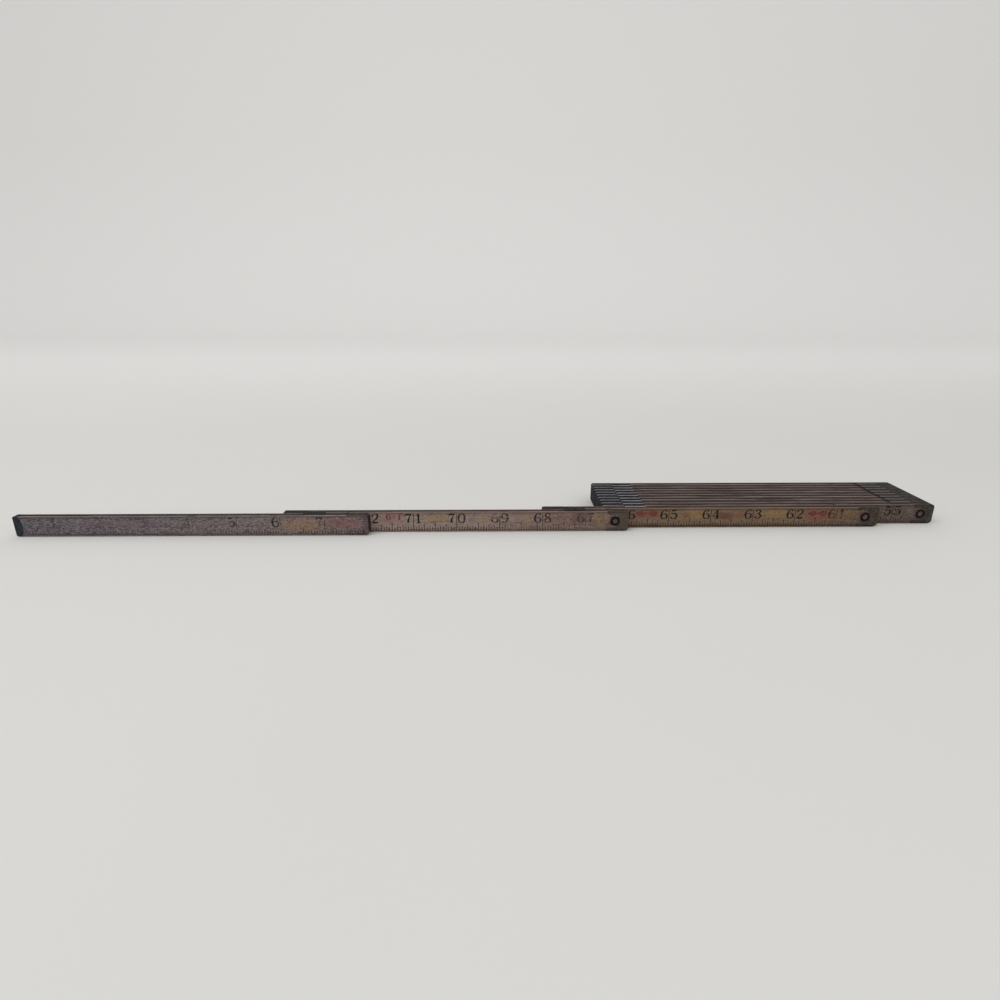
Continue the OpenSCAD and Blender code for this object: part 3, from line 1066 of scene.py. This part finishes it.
    def build(self) -> None:
        """Dresses every node and adds the prints and the eyelets."""
        dark = Tarnish(tone(30, 22, 24), tone(20, 15, 16), tone(80, 72, 64), tone(12, 9, 9), 0.0, 0.0, 0.0, 0.0,
                       0.5, 0.15, 50.0)
        dust = WornWood(ramp_of((0.0, 80, 71, 71), (1.0, 80, 71, 71)), tone(50, 42, 42), tone(112, 102, 100),
                        tone(70, 62, 58), tone(78, 70, 68), 0.5, 0.5, 51.0)
        gauge = self.gauges[BLADE_COUNT]
        ring = dark.material("eyelet_skin", self.groups, gauge)
        floor = dust.material("dish_dust", self.groups, gauge)
        for number, gauge in self.gauges.items():
            wood = self.finishes(number, gauge).material(f"wood_{number:02d}", self.groups, gauge)
            self.dress(f"blade_{number:02d}", wood, self.wood_bevel)
            left = self.metal(number, False).material(f"left_metal_{number:02d}", self.groups, gauge)
            right = self.metal(number, True).material(f"right_metal_{number:02d}", self.groups, gauge)
            self.dress("tip_cap" if number == 1 else f"left_channel_{number:02d}", left, self.metal_bevel)
            self.dress(f"right_channel_{number:02d}" if number < BLADE_COUNT else "heel_cap", right, self.metal_bevel)
            if number == 1:
                self.dress("tip_pin", left, self.metal_bevel)
            ink = Ink(tone(26, 22, 21), 0.1, FADES.get(number, EVEN_FADE), number + 0.5)
            print_ink = ink.material(f"ink_{number:02d}", self.groups, gauge)
            for side in Side:
                Scale(number, side, gauge).build(print_ink)
            self.rivets(number, gauge, [ring, floor])
        self.foot_mark()
        self.arrows()

    def rivets(self, number: int, gauge: Gauge, materials: list[Material]) -> None:
        """Adds the eyelets of one blade, or the blind rivet of the front one.

        Args:
            number: The blade.
            gauge: Where it lies.
            materials: Finishes of the roll and of the dish's floor.
        """
        eyelet, shape = Eyelet(), bmesh.new()
        front = gauge.first + (number - 1) * gauge.pitch
        back = front + gauge.depth
        z = (gauge.bottom + gauge.top) / 2
        body = f"stick_{number:02d}"
        if number == 1:
            eyelet.add(shape, gauge.right - self.eyelet_setback, z, front + self.blind_depth, back, both=False)
            rivet = make_object("blind_rivet_head", shape, materials, body)
            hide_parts("blind_rivet")
            return
        for x in (gauge.left + self.eyelet_setback, gauge.right - self.eyelet_setback):
            eyelet.add(shape, x, z, front, back)
        pair = make_object(f"eyelet_pair_{number:02d}", shape, materials, body)
        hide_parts(f"eyelets_{number:02d}")

    def foot_mark(self) -> None:
        """Prints the red foot mark beside the line of 72 inches on the second blade."""
        gauge = self.gauges[2]
        red = Ink(tone(112, 44, 52), 0.06, seed=9.0).material("red_ink", self.groups, gauge)
        printed = Print.on_face(2, gauge, Side.FRONT)
        left = 2 * INCH + 9.4 * MM
        for sign in "6-F":
            printed.numeral(sign, left, 7.4 * MM, 2.9 * MM, 3.7 * MM, 1.5)
            left += 3.5 * MM
        printed.finish("foot_mark_72", red, "stick_02")

    def arrows(self) -> None:
        """Prints the two worn red arrows on the third blade."""
        gauge = self.gauges[3]
        red = Ink(tone(118, 58, 50), 0.17, seed=12.0).material("arrow_ink", self.groups, gauge)
        printed = Print.on_face(3, gauge, Side.FRONT)
        printed.arrow(55.7 * MM, 8.8 * MM, 13.6 * MM, 4.0 * MM)
        printed.arrow(160.2 * MM, 8.4 * MM, 11.4 * MM, 4.0 * MM)
        printed.finish("arrows_03", red, "stick_03")


@dataclass(frozen=True)
class Studio:
    """Pale sweep, soft lamps and the camera at the photograph's angle."""

    focal_pixels: float = 612.3
    camera_at: tuple[float, float, float] = (0.0015, -0.36235, 0.1374)
    pitch: float = 19.21
    yaw: float = 0.94
    roll: float = 0.11
    half_width: float = 5.0
    near: float = -2.0
    far: float = 1.4
    bend: float = 0.6
    bend_steps: int = 12
    wall: float = 2.5
    room_light: float = 0.72

    def camera(self) -> None:
        """Makes the camera and looks through it."""
        data = bpy.data.cameras.new("view")
        data.sensor_width = SENSOR_MM
        data.lens = self.focal_pixels * SENSOR_MM / IMAGE_SIDE
        data.clip_start = 0.01
        data.clip_end = 50.0
        eye = bpy.data.objects.new("view", data)
        bpy.context.scene.collection.objects.link(eye)
        view = Matrix.Translation(Vector(self.camera_at))
        for angle, axis in ((-self.yaw, "Z"), (-self.pitch, "X"), (90.0, "X"), (self.roll, "Z")):
            view = view @ Matrix.Rotation(math.radians(angle), 4, axis)
        eye.matrix_world = view
        bpy.context.scene.camera = eye

    def sweep(self) -> None:
        """Makes the floor that bends up into the backdrop."""
        shape = bmesh.new()
        points = [(self.near, 0.0), (self.far, 0.0)]
        for step in range(1, self.bend_steps + 1):
            angle = math.pi / 2 * step / self.bend_steps
            points.append((self.far + self.bend * math.sin(angle), self.bend * (1 - math.cos(angle))))
        points.append((self.far + self.bend, self.wall))
        verts = [shape.verts.new((-self.half_width, y, z)) for y, z in points]
        edges = [shape.edges.new(pair) for pair in zip(verts, verts[1:])]
        grown = bmesh.ops.extrude_edge_only(shape, edges=edges)["geom"]
        moved = [item for item in grown if isinstance(item, bmesh.types.BMVert)]
        bmesh.ops.translate(shape, verts=moved, vec=(2 * self.half_width, 0.0, 0.0))
        bmesh.ops.recalc_face_normals(shape, faces=list(shape.faces))
        for face in shape.faces:
            face.smooth = True
        material, wire, shader, place = start_material("paper")
        spot = place.outputs["Object"]
        cloud = wire.noise(wire.stretch(spot, 5.0, 5.0, 5.0), 3.0, 0.5)
        paper = wire.mix(cloud, tone(213, 212, 209), tone(217, 216, 213))
        # Painted light: the sweep grows lighter towards the back.
        far = wire.span(wire.split(spot)["Y"], 0.05, 1.0)
        paper = wire.mix(far, paper, tone(240, 239, 237))
        wire.fill(shader, {"Base Color": paper, "Roughness": 0.9, "Specular IOR Level": 0.1})
        make_object("paper_sweep", shape, [material], "")

    def lamp(self, name: str, at: tuple[float, float, float], side: float, power: float) -> None:
        """Hangs one square soft lamp that faces the rule.

        Args:
            name: Its name.
            at: Its place.
            side: Its side.
            power: Its power.
        """
        data = bpy.data.lights.new(name, "AREA")
        data.size = side
        data.energy = power
        lamp = bpy.data.objects.new(name, data)
        lamp.matrix_world = Matrix.Translation(Vector(at)) @ Vector(at).to_track_quat("Z", "Y").to_matrix().to_4x4()
        bpy.context.scene.collection.objects.link(lamp)

    def light(self) -> None:
        """Sets the world and the lamps."""
        world = bpy.data.worlds.new("soft_room")
        world.use_nodes = True
        back = world.node_tree.nodes["Background"]
        back.inputs["Color"].default_value = (1.0, 1.0, 1.0, 1.0)
        back.inputs["Strength"].default_value = self.room_light
        bpy.context.scene.world = world
        self.lamp("window", (-0.7, -0.5, 1.3), 1.1, 7.0)
        self.lamp("fill", (0.9, -1.0, 0.9), 1.2, 3.0)

    def build(self) -> None:
        """Builds the whole studio."""
        self.camera()
        self.sweep()
        self.light()
        bpy.context.scene.view_settings.view_transform = "Standard"


def main() -> None:
    """Builds the studio and the rule."""
    logging.basicConfig(level=logging.INFO, format="%(name)s: %(message)s")
    Studio().build()
    groups = Groups(grain_group(), edges_group(), patina_group(), spot_group())
    Rule(groups).build()


if __name__ == "__main__":
    main()
